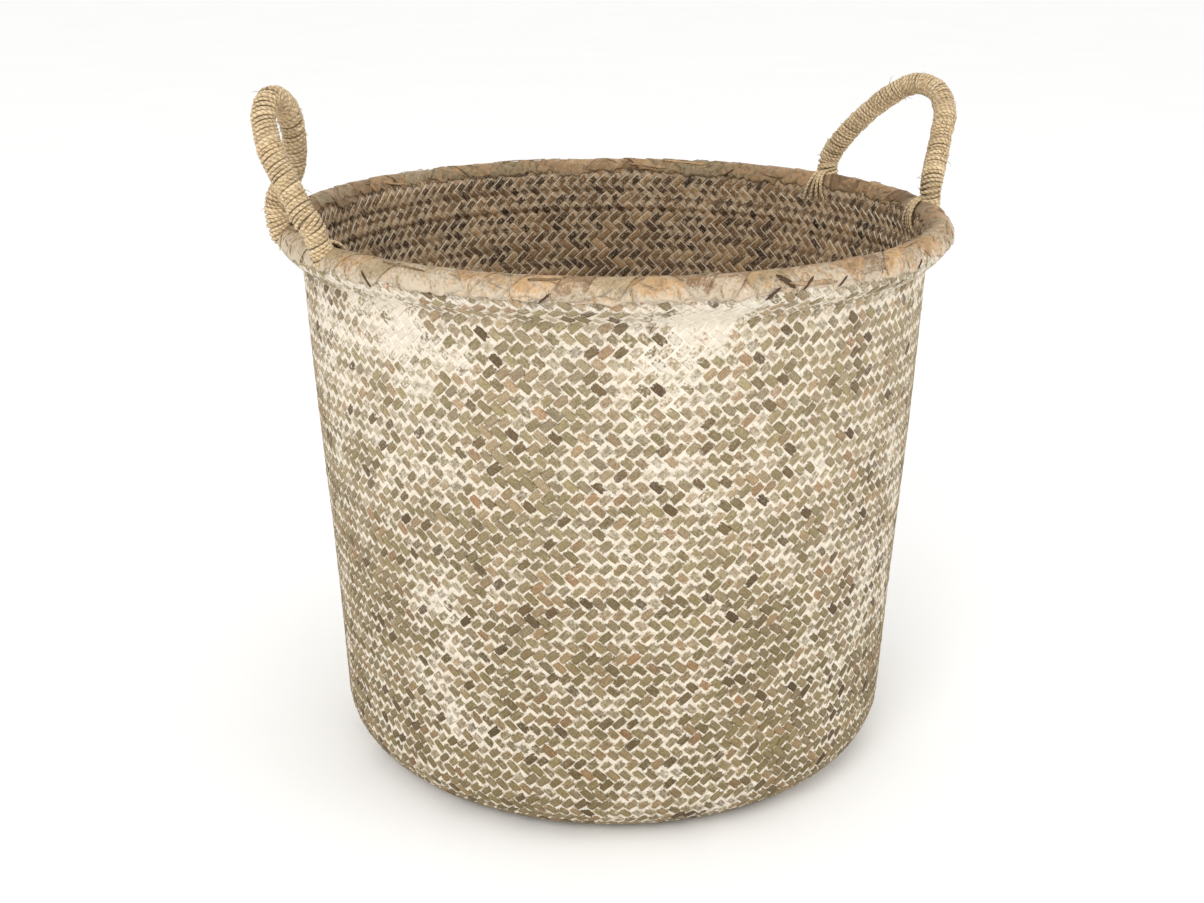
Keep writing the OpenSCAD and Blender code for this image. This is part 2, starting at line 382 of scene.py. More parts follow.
def seagrass_material():
    """Flat dry strands, with white paint along edges and ends and thick in patches. Bare brown inside."""
    s = Shader("whitewashed_seagrass")
    strand, along = s.attribute("strand"), s.attribute("along")
    across, face, paint = s.attribute("across"), s.attribute("face"), s.attribute("paint")
    place = s.position()

    inside = s.step(face, -0.55, -0.35, 1.0, 0.0)
    float_along = s.math("ADD", along, s.math("MULTIPLY", 0.5, s.math("LESS_THAN", face, -0.45)))
    tone, shade, luck = s.random(s.vector(strand, s.math("FLOOR", float_along), 3.7))
    streaks = s.noise(s.vector(s.math("MULTIPLY", across, 2.6), s.math("MULTIPLY", along, 1.7), strand),
                      1.9, detail=4.0, roughness=0.65)
    grain = s.noise(place, 620.0, detail=3.0)
    flecks = s.noise(place, 1150.0, detail=2.0)
    light = s.sum((shade, 0.34), (streaks, 0.70), (grain, 0.46), (flecks, 1.05), (1.0, -0.40))
    outside_tone = s.scaled(s.ramp(tone, OUTER_TONES), light)
    low_wall = s.step(s.height(place), 0.04, 0.31, 1.0, 0.0)
    outside_tone = s.mix(low_wall, outside_tone, s.mix(1.0, outside_tone, colour(218, 214, 198), "MULTIPLY"))

    uneven = s.sum((grain, 1.0), (1.0, -0.5))
    shifted = s.sum((across, 1.0), (shade, 0.30), (1.0, -0.15))
    from_middle = s.math("ABSOLUTE", s.math("SUBTRACT", s.math("FRACT", float_along), 0.5))
    corner = s.step(from_middle, 0.08, 0.26, 0.0, 0.42)
    edge = s.sum((s.math("ABSOLUTE", shifted), 1.0), (uneven, 1.0), (paint, 0.50), (luck, 0.34),
                 (corner, 1.0))
    end = s.sum((from_middle, 1.0), (uneven, 0.20), (paint, 0.11), (luck, 0.07))
    gaps = s.step(end, 0.254, 0.292)
    sides = s.step(edge, 1.30, 1.54)
    seams = s.math("MAXIMUM", sides, gaps)
    brushed = s.step(s.sum((streaks, 0.5), (luck, 0.30), (paint, 0.5), (grain, 0.35)), 0.86, 1.20)
    solid = s.step(s.sum((paint, 1.0), (uneven, 0.7), (luck, 0.12)), 0.80, 0.98)
    cover = s.math("MAXIMUM", s.math("MULTIPLY", seams, 0.90), s.math("MULTIPLY", brushed, 0.62))
    cover = s.math("MAXIMUM", cover, s.math("MULTIPLY", solid, 0.80))
    outside = s.mix(cover, outside_tone, WHITEWASH)
    patches = s.step(s.noise(place, 26.0, detail=2.0), 0.36, 0.64, 0.84, 1.16)
    inside_tone = s.scaled(s.ramp(tone, INNER_TONES), s.math("MULTIPLY", light, patches))
    inside_edge = s.sum((edge, 1.0), (uneven, 0.5), (luck, 0.20))
    lines = s.math("MAXIMUM", s.step(inside_edge, 1.48, 1.78), s.step(end, 0.236, 0.276))
    bled = s.step(s.sum((grain, 1.0), (luck, 0.40), (paint, 0.30)), 0.62, 0.98, 0.05, 0.80)
    specks = s.step(s.sum((flecks, 0.7), (grain, 0.5)), 0.62, 0.76, 0.0, 0.55)
    veins = s.math("MAXIMUM", s.math("MULTIPLY", lines, bled), specks)
    base = s.mix(inside, outside, s.mix(veins, inside_tone, colour(192, 168, 136)))
    height = s.sum((streaks, 0.7), (grain, 0.3), (flecks, 0.15))
    return s.done(base, s.step(cover, 0.0, 1.0, 0.62, 0.85), height, 0.35, specular=0.25)


def film_material():
    """Chalky paint, slightly dirty in its hollows."""
    s = Shader("whitewash")
    place = s.position()
    grain = s.noise(place, 700.0, detail=3.0)
    dirt = s.noise(place, 60.0, detail=4.0, roughness=0.6)
    amount = s.sum((grain, 0.5), (dirt, 0.35), (s.attribute("paint"), 0.35))
    tint = s.ramp(amount, [(0.36, colour(184, 166, 134)), (0.56, colour(220, 207, 184)),
                           (0.80, colour(238, 231, 217))])
    inside = s.step(s.attribute("face"), -0.5, 0.5, 1.0, 0.0)
    base = s.mix(inside, tint, s.scaled(colour(150, 132, 104), s.sum((grain, 0.8), (1.0, 0.5))))
    return s.done(base, 0.88, grain, 0.3, specular=0.15)


def leaf_material():
    """Dried leaf in warm tans, with pale rubbed patches, fine veins along it, and painted shade on the part
    inside the roll.
    """
    s = Shader("dried_leaf")
    strand, along, across = s.attribute("strand"), s.attribute("along"), s.attribute("across")
    place = s.position()
    tone, shade, luck = s.random(s.vector(strand, 11.3, 5.1))
    veins = s.noise(s.vector(s.math("MULTIPLY", across, 9.0), s.math("MULTIPLY", along, 0.06), strand),
                    1.6, detail=4.0, roughness=0.6)
    blotch = s.noise(place, 130.0, detail=4.0, roughness=0.6)
    bare = s.ramp(s.math("ADD", s.math("MULTIPLY", tone, 0.52), s.math("MULTIPLY", blotch, 0.48)), [
        (0.16, colour(124, 96, 66)), (0.32, colour(160, 127, 90)), (0.44, colour(192, 154, 109)),
        (0.56, colour(184, 150, 110)), (0.68, colour(164, 145, 111)), (0.86, colour(194, 162, 124))])
    chalk = s.noise(place, 620.0, detail=3.0)
    creases = s.noise(s.stretch(place, (1.0, 1.0, 0.5)), 330.0, detail=5.0, roughness=0.75)
    stains = s.step(s.noise(place, 260.0, detail=4.0, roughness=0.7), 0.49, 0.61, 1.0, 0.62)
    # Painted shade: past the crest, the leaf's inner half is darkened to about three quarters of its
    # brightness, for the shade inside the band.
    painted_inner_shade = s.step(along, 17.0, 38.0, 1.0, 0.74)
    light = s.sum((shade, 0.18), (veins, 0.50), (creases, 1.25), (1.0, -0.01))
    bare = s.scaled(bare, s.math("MULTIPLY", s.math("MULTIPLY", light, stains), painted_inner_shade))
    rubbing = s.sum((blotch, 0.50), (veins, 0.20), (luck, 0.16), (chalk, 0.50),
                    (s.attribute("paint"), 0.34))
    rubbed = s.step(rubbing, 0.72, 0.98)
    shelter = s.step(along, 17.0, 38.0, 0.62, 0.24)
    base = s.mix(s.math("MULTIPLY", rubbed, shelter), bare, colour(222, 209, 188))
    return s.done(base, 0.62, s.sum((veins, 0.8), (blotch, 0.4), (creases, 1.2)), 0.6, specular=0.3)


def dark_leaf_material():
    """Slivers of old brown leaf."""
    s = Shader("old_leaf")
    strand, along, across = s.attribute("strand"), s.attribute("along"), s.attribute("across")
    veins = s.noise(s.vector(s.math("MULTIPLY", across, 4.0), s.math("MULTIPLY", along, 0.15), strand),
                    1.8, detail=3.0)
    base = s.ramp(veins, [(0.25, colour(52, 38, 26)), (0.55, colour(84, 60, 40)),
                          (0.80, colour(130, 100, 70))])
    return s.done(base, 0.7, veins, 0.3)


def twine_material(name, light_tone, mid_tone, dark_tone, painted_groove_brightness):
    """Loosely twisted plant twine: slanting plies, dry fibres, and painted shade on the back of each cord, as
    in the grooves between wraps.
    """
    s = Shader(name)
    strand, along = s.attribute("strand"), s.attribute("along")
    across, face = s.attribute("across"), s.attribute("face")
    place = s.position()
    tone, shade, _ = s.random(s.vector(strand, s.math("FLOOR", s.math("MULTIPLY", along, 0.055)), 2.9))
    plies = s.math("SINE", s.math("ADD", s.math("MULTIPLY", along, 2.4), s.math("MULTIPLY", across, 2.2)))
    fibres = s.noise(s.vector(s.math("MULTIPLY", along, 0.35), s.math("MULTIPLY", across, 3.0), strand),
                     1.5, detail=4.0, roughness=0.65)
    patches = s.noise(place, 95.0, detail=3.0)
    flecks = s.noise(place, 900.0, detail=2.0)
    amount = s.sum((fibres, 0.50), (patches, 0.22), (flecks, 0.60), (tone, 0.12), (1.0, -0.23))
    base = s.ramp(amount, [(0.28, dark_tone), (0.45, mid_tone), (0.66, light_tone)])
    # Painted shade: each cord is darkened on its back half, the side turned away from its outward direction,
    # down to the given share of its brightness. On the handles this stands for the shade in the grooves
    # between wraps.
    painted_groove_shade = s.step(face, -0.15, 0.80, painted_groove_brightness, 1.0)
    light = s.sum((plies, 0.24), (shade, 0.30), (1.0, 0.85))
    base = s.scaled(base, s.math("MULTIPLY", light, painted_groove_shade))
    height = s.math("ADD", s.math("MULTIPLY", plies, 0.35), fibres)
    return s.done(base, 0.75, height, 0.4, specular=0.2, sheen=0.15)


def floor_material():
    """Nearly white, and even."""
    s = Shader("pale_floor")
    speck = s.noise(s.position(), 3.0, detail=2.0)
    tint = s.ramp(speck, [(0.0, colour(250, 250, 249)), (1.0, colour(254, 254, 253))])
    return s.done(tint, 0.9, speck, 0.1, specular=0.1)


SEAGRASS = seagrass_material()
WHITEWASH_FILM = film_material()
LEAF = leaf_material()
OLD_LEAF = dark_leaf_material()
TWINE = twine_material("handle_twine", colour(228, 206, 170), colour(198, 171, 130),
                       colour(120, 94, 60), painted_groove_brightness=0.50)
THREAD = twine_material("stitch_thread", colour(206, 186, 150), colour(184, 158, 118),
                        colour(150, 122, 84), painted_groove_brightness=0.90)
GRASS = twine_material("grass_stems", colour(190, 168, 112), colour(160, 136, 84),
                       colour(110, 88, 52), painted_groove_brightness=0.70)

# ---------------------------------------------------------------- plaited wall, hem and base


def patchwork(cell_w, cell_h):
    """A smooth random field over the wall, by angle and height, with cells of about that size."""
    columns = int(2 * math.pi * WALL_TOP_R / cell_w)
    rows = int(RIM_TOP_Z / cell_h) + 4
    grid = rng.uniform(0, 1, (rows, columns))

    def value(angle, z):
        x = np.asarray(angle) / (2 * math.pi) * columns
        y = np.clip(np.asarray(z) / cell_h, 0, rows - 2.001)
        column, row = np.floor(x).astype(int), np.floor(y).astype(int)
        fx, fy = x - column, y - row
        fx, fy = fx * fx * (3 - 2 * fx), fy * fy * (3 - 2 * fy)
        left, right = column % columns, (column + 1) % columns
        low = grid[row, left] * (1 - fx) + grid[row, right] * fx
        high = grid[row + 1, left] * (1 - fx) + grid[row + 1, right] * fx
        return low * (1 - fy) + high * fy

    return value


LARGE_PATCHES = patchwork(52, 70)
MIDDLE_PATCHES = patchwork(19, 24)
SMALL_PATCHES = patchwork(8, 9)
PAINT_GRAIN = patchwork(3.2, 3.2)


def paint_amount(angle, z):
    """How heavily the wall is painted, from about 0 to 1: patchy, and heavier just under the rim."""
    mixed = 0.36 * LARGE_PATCHES(angle, z) + 0.34 * MIDDLE_PATCHES(angle, z) + 0.30 * SMALL_PATCHES(angle, z)
    up_wall = np.clip(z / 320, 0, 1)
    under_rim = np.clip((z - 255) / 60, 0, 1)
    return PAINT_LEVEL + (mixed - 0.5) + 0.16 * (up_wall - 0.60) + 0.12 * under_rim


class Meridian:
    """The middle of the plaited sheet, from below to above, and which row of crossings is where."""

    def __init__(self, radius, z, first_row=0.0):
        step = np.hypot(np.diff(radius), np.diff(z))
        self.row = first_row + np.concatenate([[0], np.cumsum(step / ROW_H)])
        self.radius, self.z = radius, z
        self.tilt_r, self.tilt_z = np.gradient(z), -np.gradient(radius)

    def at(self, row):
        """Radius, height and outward direction (radial part, upward part) at each row."""
        parts = [np.interp(row, self.row, v) for v in (self.radius, self.z, self.tilt_r, self.tilt_z)]
        size = np.hypot(parts[2], parts[3])
        return parts[0], parts[1], parts[2] / size, parts[3] / size


FLAT_POINTS = 8
EDGE_POINTS = 60
STRAIGHT = slice(FLAT_POINTS + EDGE_POINTS + 2, None)     # the wall's points above its rounded edge


def wall_meridian(top_z):
    """Flat for the last of the base, round the lower edge, and straight up the wall."""
    mid_r = EDGE_R - WEAVE_T / 2
    flat_r = np.linspace(EDGE_CENTRE_R - 4, EDGE_CENTRE_R, FLAT_POINTS, endpoint=False)
    turn = np.radians(np.linspace(-90, -math.degrees(TAPER), EDGE_POINTS))
    arc_r = EDGE_CENTRE_R + mid_r * np.cos(turn)
    arc_z = EDGE_R + mid_r * np.sin(turn)
    up_z = np.linspace(arc_z[-1], top_z, 200)[1:]
    up_r = arc_r[-1] + (up_z - arc_z[-1]) * math.tan(TAPER)
    return Meridian(np.concatenate([flat_r, arc_r, up_r]),
                    np.concatenate([np.full(FLAT_POINTS, arc_z[0]), arc_z, up_z]))


def branch_meridian(wall, outline):
    """A line through the outline's points. The plait goes on from the wall's rows where it starts."""
    line = resample(catmull_rom([(r, 0, z) for r, z in outline], 24), 0.4)
    return Meridian(line[:, 0], line[:, 2], np.interp(outline[0][1], wall.z[STRAIGHT], wall.row[STRAIGHT]))


def lean(wall, z):
    """The radius of the wall's middle at a height."""
    return np.interp(z, wall.z[STRAIGHT], wall.radius[STRAIGHT])


def lip_meridian(wall):
    """Leaves the wall on its inner side, climbs the inside of the roll, and ends under the leaf band."""
    start_z = HEM_LOW_Z - 9
    outline = [(lean(wall, start_z) - 0.3, start_z), (lean(wall, start_z + 4) - 0.8, start_z + 4),
               (CREST_R - 6.6, ROLL_Z - 11), (CREST_R - 7.6, ROLL_Z - 4), (CREST_R - 7.1, ROLL_Z + 2),
               (CREST_R - 5.4, ROLL_Z + 6), (CREST_R - 3.2, ROLL_Z + 8.4)]
    return branch_meridian(wall, outline)


def hem_meridian(wall):
    """Leaves the wall under the rim, slopes out under the roll, and ends behind the leaf band."""
    start_z = HEM_LOW_Z - 1
    outline = [(lean(wall, start_z) - 0.7, start_z), (lean(wall, HEM_LOW_Z + 2), HEM_LOW_Z + 2),
               (RIM_OUT_R - 11.2, HEM_LOW_Z + 6.0),
               (RIM_OUT_R - 6.6, HEM_LOW_Z + 9.6), (RIM_OUT_R - 3.4, HEM_LOW_Z + 13.6),
               (RIM_OUT_R - 2.2, HEM_LOW_Z + 19)]
    return branch_meridian(wall, outline)


# Places in one repeat of the plait at which a strand is drawn, counted in crossings from the middle of the
# float that shows outside, and its height there as a share of WAVE.
REPEAT = ((-0.30, 1.0), (0.30, 1.0), (0.75, 0.82), (1.25, -0.82),
          (1.70, -1.0), (2.30, -1.0), (2.75, -0.82), (3.25, 0.82))


def repeat_samples(first, last, middle):
    """Crossing numbers from first to last, and the strand's height at each, for floats centred on middle."""
    turns = np.arange(math.floor((first - middle) / TWILL) - 1, math.ceil((last - middle) / TWILL) + 2)
    at = (middle + TWILL * turns[:, None] + np.array([p for p, _ in REPEAT])).ravel()
    height = np.tile([h for _, h in REPEAT], len(turns))
    keep = (at >= first) & (at <= last)
    return at[keep], height[keep]


def swell(angle, z):
    """How far the wall stands proud of a true cone, as hand work does."""
    ripple = 0.35 * np.sin(3 * angle + z / 60) + 0.25 * np.sin(7 * angle - z / 35)
    return ripple * np.clip((z - 8) / 40, 0, 1)


def paint_film(meridian, name, first_z, stands_for):
    """Whitewash that has run into the seams between the strands: a thin rough layer at just that depth."""
    first_row = np.interp(first_z, meridian.z, meridian.row)
    row = np.arange(first_row, meridian.row[-1], FILM_ROW)
    angle = 2 * math.pi * np.arange(FILM_COLUMNS) / FILM_COLUMNS
    radius, z, out_r, out_z = meridian.at(row[:, None])
    outward = np.stack(np.broadcast_arrays(out_r * np.cos(angle), out_r * np.sin(angle), out_z), axis=-1)
    amount = paint_amount(angle, z)
    rough = PAINT_GRAIN(angle, z) - 0.5
    lift = FILM_LIFT + 0.45 * (amount - 0.5) + 0.36 * rough + swell(angle, z)
    outer = on_ring(radius, angle, z) + outward * lift[..., None]
    inner = on_ring(radius, angle, z) + outward * (lift - FILM_T)[..., None]
    grid = np.arange(len(row) * FILM_COLUMNS).reshape(len(row), FILM_COLUMNS)
    following = np.roll(grid, -1, axis=1)
    out_faces = np.stack([grid[:-1], following[:-1], following[1:], grid[1:]], -1).reshape(-1, 4)
    in_faces = out_faces[:, ::-1] + grid.size
    rims = [np.stack([following[0], grid[0], grid[0] + grid.size, following[0] + grid.size], -1),
            np.stack([grid[-1], following[-1], following[-1] + grid.size, grid[-1] + grid.size], -1)]
    points = np.vstack([outer.reshape(-1, 3), inner.reshape(-1, 3)])
    faces = np.vstack([out_faces, in_faces] + rims)
    pieces = Pieces()
    pieces.add(points, faces, strand=0, along=0, across=0,
               face=np.repeat([1.0, -1.0], grid.size), paint=np.tile(amount.ravel(), 2))
    pieces.build(name, WHITEWASH_FILM, "root", stands_for)


def plait(pieces, meridian, leans_left, number, first_row, last_row):
    """One strand of the wall. Strands that lean left go over where the others go under."""
    middle = 0.5 if leans_left else 2.5
    row, height = repeat_samples(first_row, last_row, middle)
    way = -1 if leans_left else 1
    angle = (2 * number + way * row) * math.pi / STRANDS
    radius, z, out_r, out_z = meridian.at(row)
    outward = np.stack([out_r * np.cos(angle), out_r * np.sin(angle), out_z], axis=1)
    centre = on_ring(radius, angle, z)
    sideways = math.pi * radius / STRANDS
    room = 2 * sideways * ROW_H / np.hypot(sideways, ROW_H)
    half_w = room / 2 * STRAND_FILL * (1 + np.clip(wander(row, 2.0, 0.055), -0.13, 0.09))
    side = np.cross(outward, unit(np.gradient(centre, axis=0)))
    lift = WAVE * height * (1 + wander(row, 2.0, 0.07)) + swell(angle, z)
    centre = centre + outward * lift[:, None] + side * wander(row, 3.0, 0.13)[:, None]
    pieces.sweep(centre, outward, half_w, STRAND_HALF_T, number + (0 if leans_left else STRANDS),
                 (row - middle) / TWILL + 0.5, roll=wander(row, 2.0, 0.06), paint=paint_amount(angle, z))


def plaited_wall():
    """The wall's strands, in pieces of neighbours, then the hem and the rim's inside, which go on from it."""
    wall = wall_meridian(WALL_TOP_Z + 3)
    for leans_left in (True, False):
        for group in range(STRANDS // STRANDS_PER_PIECE):
            pieces = Pieces()
            for number in range(group * STRANDS_PER_PIECE, (group + 1) * STRANDS_PER_PIECE):
                plait(pieces, wall, leans_left, number, wall.row[0], wall.row[-1])
            name = f"wall_strands_{'left' if leans_left else 'right'}_{group + 1:02d}"
            pieces.build(name, SEAGRASS, "root", ["woven_wall"])
    paint_film(wall, "wall_whitewash", 6.0, ["woven_wall"])
    hem = hem_meridian(wall)
    paint_film(hem, "hem_whitewash", HEM_LOW_Z, ["folded_hem"])
    for part, meridian, stands_for in (("hem", hem, "folded_hem"), ("lip", lip_meridian(wall), "rim_band")):
        for leans_left in (True, False):
            pieces = Pieces()
            for number in range(STRANDS):
                plait(pieces, meridian, leans_left, number, meridian.row[0], meridian.row[-1])
            name = f"{part}_strands_{'left' if leans_left else 'right'}"
            pieces.build(name, SEAGRASS, "root", [stands_for])


def plaited_base():
    """The flat base: straight strands both ways, cut where the wall's strands take over."""
    room = 4.5
    reach = EDGE_CENTRE_R + 2
    middle_z = WEAVE_T / 2 + 0.05
    count = int(reach / room)
    for way in (0, 1):
        pieces = Pieces()
        for number in range(-count, count + 1):
            offset = number * room
            half = math.sqrt(max(reach**2 - offset**2, 1.0))
            middle = (0.5 if way == 0 else 2.5) - number
            cross, height = repeat_samples(-half / room, half / room, middle)
            if len(cross) < 4:
                continue
            flat = np.stack([cross * room, np.full(len(cross), offset)], axis=1)
            flat[:, 1] += wander(cross, 3.0, 0.12)
            if way:
                flat = flat[:, ::-1]
            turned = np.stack([flat[:, 0] - flat[:, 1], flat[:, 0] + flat[:, 1]], axis=1) / math.sqrt(2)
            centre = np.column_stack([turned, middle_z - WAVE * 0.95 * height])
            outward = np.tile([0.0, 0.0, -1.0], (len(cross), 1))
            half_w = room / 2 * STRAND_FILL * (1 + np.clip(wander(cross, 2.0, 0.05), -0.12, 0.08))
            pieces.sweep(centre, outward, half_w, STRAND_HALF_T,
                         BASE_NUMBERS + number + BASE_SECOND_WAY * way, (cross - middle) / TWILL + 0.5)
        name = f"base_strands_{'across' if way else 'along'}"
        pieces.build(name, SEAGRASS, "root", ["woven_base"])


# ---------------------------------------------------------------- rolled rim


def roll_point(turn, angle, stand_off):
    """A point on the rolled rim. turn is in degrees: 0 outside, 90 on the crest, 180 inside."""
    t = np.radians(turn)
    radius = CREST_R + (ROLL_HALF_W - ROLL_INSET + stand_off) * np.cos(t)
    return on_ring(radius, angle, ROLL_Z + (ROLL_HALF_H - ROLL_INSET + stand_off) * np.sin(t))


def leaf_patch(pieces, number, angle, width, slant, low_out, low_in, layer):
    """One leaf folded over the crest, from low on the outside to low on the inside.

    It rises from one side to the other, so that it lies on its neighbour.
    """
    columns, rows, thick = 9, 22, 0.45
    across = np.linspace(-1, 1, columns)
    ragged_out = low_out + rng.normal(0, 4.5, columns)
    ragged_in = low_in + rng.normal(0, 5.5, columns)
    share = np.linspace(0, 1, rows)[:, None]
    turn = ragged_out + (ragged_in - ragged_out) * share
    crease = wander(across, 0.5, 0.12)
    rise = layer + 0.75 * (across + 1) / 2 + crease + 0.15 * np.sin(share * 40 + 5 * across + number)
    at_angle = angle + (across * width / 2 + slant * (share - 0.5)) / CREST_R
    outer = roll_point(turn, at_angle, rise)
    inner = roll_point(turn, at_angle, rise - thick)
    grid = np.arange(rows * columns).reshape(rows, columns)
    a, b, c, d = grid[:-1, :-1], grid[:-1, 1:], grid[1:, 1:], grid[1:, :-1]
    face_out = np.stack([a, b, c, d], -1).reshape(-1, 4)
    face_in = face_out[:, ::-1] + grid.size
    border = np.concatenate([grid[0, :-1], grid[:-1, -1], grid[-1, :0:-1], grid[:0:-1, 0]])
    following = np.roll(border, -1)
    rims = np.stack([following, border, border + grid.size, following + grid.size], -1)
    faces = np.vstack([face_out, face_in, rims])
    points = np.vstack([outer.reshape(-1, 3), inner.reshape(-1, 3)])
    along = np.tile(np.repeat(share[:, 0] * 50, columns), 2)
    paint = np.interp(turn, [-5, 28, 60, 150, 210], [1.0, 0.55, 0.25, 0.1, 0.25]).ravel()
    pieces.add(points, faces, number, along, np.tile(across, 2 * rows), np.repeat([1.0, -1.0], grid.size),
               np.tile(paint, 2))


def leaf_band():
    """Two layers of leaves folded over the roll one after another, each tucked under the last."""
    pieces = Pieces()
    # How many leaves, their width as a share of their spacing, how far they slant, and how high they lie
    for count, width, slants, layer in ((44, 1.9, (0, 6), -0.75), (66, 1.45, (10, 26), 0.2)):
        pitch = 2 * math.pi / count
        for number in range(count):
            slant = rng.choice([-1, 1], p=[0.4, 0.6]) * rng.uniform(*slants)
            angle = number * pitch + rng.normal(0, 0.12) * pitch
            leaf_patch(pieces, number + 5 * count, angle, pitch * CREST_R * width, slant,
                       low_out=rng.normal(9, 4), low_in=rng.normal(158, 6),
                       layer=layer + rng.uniform(-0.1, 0.15))
    pieces.build("rim_leaf_band", LEAF, "root", ["rim_band"])


def rim_strip(pieces, number, angle, turn, length, half_w, drift, stand_off, half_t=0.28):
    """A narrow strip that lies along the rim. drift is how far it climbs round the roll, in degrees."""
    share = np.linspace(-1, 1, max(6, int(length / 4)))
    at_turn = turn + drift * share / 2 + 0.05 * length * np.sin(3 * share + number)
    at_angle = angle + share * length / 2 / CREST_R
    lift = stand_off + 0.15 * np.sin(5 * share + number)
    centre = roll_point(at_turn, at_angle, lift)
    outward = centre - roll_point(at_turn, at_angle, lift - 2)
    taper = np.clip((1.05 - np.abs(share)) * 4, 0.25, 1)
    pieces.sweep(centre, outward, half_w * taper, half_t, STRIP_NUMBERS + number, share * length / 2,
                 paint=np.interp(turn, [0, 30, 60], [0.8, 0.4, 0.1]))


def rim_strips():
    """Leaf strips and fibres along the rim, and a few old dark slivers that stick out under the band."""
    strips, fibres = 24, 120
    lift, dark_lift = 1.1, 1.15
    light = Pieces()
    for number in range(strips):
        angle = 2 * math.pi * (number + rng.uniform(-0.4, 0.4)) / strips
        turn = rng.choice([rng.uniform(100, 150), rng.uniform(24, 44), rng.uniform(50, 85)])
        rim_strip(light, number, angle, turn, rng.uniform(14, 34), rng.uniform(0.7, 1.4),
                  rng.normal(0, 14), lift)
    for number in range(fibres):
        rim_strip(light, FIBRE_NUMBERS + number, rng.uniform(0, 2 * math.pi), rng.uniform(26, 150),
                  rng.uniform(4, 9), rng.uniform(0.2, 0.4), rng.normal(0, 16), lift, half_t=0.2)
    light.build("rim_long_strips", LEAF, "root")
    dark = Pieces()
    # Direction from the basket's axis, place and climb round the roll, all in degrees, then length and width
    slivers = [(-91.2, 10, 26, 9, 1.5), (-88.9, 38, -40, 9, 3.2), (-85.2, 26, 30, 7, 1.4),
               (-79, 18, 22, 6, 1.1), (-153.5, 12, -34, 8, 1.4), (-124, 12, 24, 6, 1.2),
               (-60, 12, 20, 5, 1.2), (15, 10, 36, 8, 1.4), (75, 5, -26, 9, 1.2),
               (118, 12, 30, 8, 2.2), (160, 3, -22, 8, 1.2), (-30, 12, 24, 6, 1.2),
               (40, 150, 26, 8, 1.4), (-170, 150, -26, 7, 1.4)]
    for number, (degrees, turn, drift, length, width) in enumerate(slivers):
        rim_strip(dark, number, math.radians(degrees), turn, length, width / 2, drift, dark_lift)
    dark.build("rim_dark_slivers", OLD_LEAF, "root")


def rim_threads():
    """The stitches: short slanting loops of thread over the band's lower edge, outside."""
    pieces = Pieces()
    count, points = 60, 9
    turn = np.linspace(36, -7, points)
    share = np.linspace(0, 1, points)
    lift = 0.3 + 0.95 * np.sin(math.pi * share) ** 0.5 - 2.6 * share**3
    for number in range(count):
        angle = 2 * math.pi * (number + 0.5 + rng.uniform(-0.12, 0.12)) / count
        centre = roll_point(turn, angle + 0.012 * (share - 0.5), lift)
        outward = centre - roll_point(turn, angle, lift - 3)
        pieces.sweep(centre, outward, 0.4, 0.35, number, lengths(centre), round_section(6))
    pieces.build("rim_stitch_threads", THREAD, "root", ["rim_stitches"])


def rim_bundle():
    """The grass that stiffens the roll: a ring of stems that winds slowly round one in the middle."""
    pieces = Pieces()
    core_low, core_high = box_mm("rim_core")
    core_r = (core_high[2] - core_low[2]) / 2
    core_z = (core_high[2] + core_low[2]) / 2
    ring_r = core_high[0] - core_r
    angle = np.linspace(0, 2 * math.pi, 241)
    outer_stems, windings = 7, 9
    for stem in range(outer_stems + 1):
        stem_r = core_r * (0.36 if stem < outer_stems else 0.34)
        spread = core_r - stem_r if stem < outer_stems else 0.0
        turn = 2 * math.pi * stem / outer_stems + windings * angle
        centre = on_ring(ring_r + spread * np.cos(turn), angle, core_z + spread * np.sin(turn))
        facing = np.broadcast_to([0.3, 0.2, 1.0], centre.shape)
        pieces.sweep(centre, facing, stem_r, stem_r, stem, lengths(centre), round_section(6))
    pieces.build("rim_grass_bundle", GRASS, "root", ["rim_core"])


# ---------------------------------------------------------------- handles

ROPE_R = 7.0              # radius of a handle with its twine
TWINE_R = 1.2
TWINE_PITCH = 2.35        # distance between neighbouring wraps
TWINE_STARTS = 3          # twines wound side by side
HINGE_RISE = 9.5          # height of the fold line above the rim
HAIRS = 46                # loose hairs on each handle
CORE_R = ROPE_R - 1.5 * TWINE_R

# Each route runs from foot to foot: outwards from the line through the feet, along that line, and up from it.
HANDLES = {
    "right": {
        "azimuth": 0.0, "foot_line": 188.0, "feet": {"back": 60.0, "front": -60.0},
        "route": [(-1, 60, -22), (-0.5, 60, -10), (0, 60, 0), (3, 51, 13.5), (11, 38, 30), (20, 22, 45),
                  (28, 4, 54.5), (32, -15, 51.5), (28, -30, 40.5), (18, -42, 29), (7, -53, 12.5), (0, -60, 0),
                  (-0.5, -60, -10), (-1, -60, -22)],
    },
    "left": {
        "azimuth": 183.0, "foot_line": 199.0, "feet": {"front": 35.0, "back": -35.0},
        "route": [(-6, 36.5, -21), (-2.5, 36, -9), (0, 35, 0), (4, 32.5, 7), (8.3, 26, 19.6), (14.6, 17, 38),
                  (15.8, 9, 53), (13.4, 4, 61), (7.6, -2, 65.5), (0.2, -8, 62), (-5.2, -13, 52),
                  (-8.4, -20, 34), (-6.7, -25, 21), (-1, -32, 7.5), (0, -35, 0), (-0.5, -35.5, -9),
                  (-4, -35.5, -20)],
    },
}


def handle_place(side, out, along, up):
    """A point of a handle's route, in the basket's frame."""
    handle = HANDLES[side]
    azimuth = math.radians(handle["azimuth"])
    outwards = np.array([math.cos(azimuth), math.sin(azimuth), 0.0])
    sideways = np.array([-math.sin(azimuth), math.cos(azimuth), 0.0])
    height = np.array([0, 0, RIM_TOP_Z + HINGE_RISE + up])
    return outwards * (handle["foot_line"] + out) + sideways * along + height


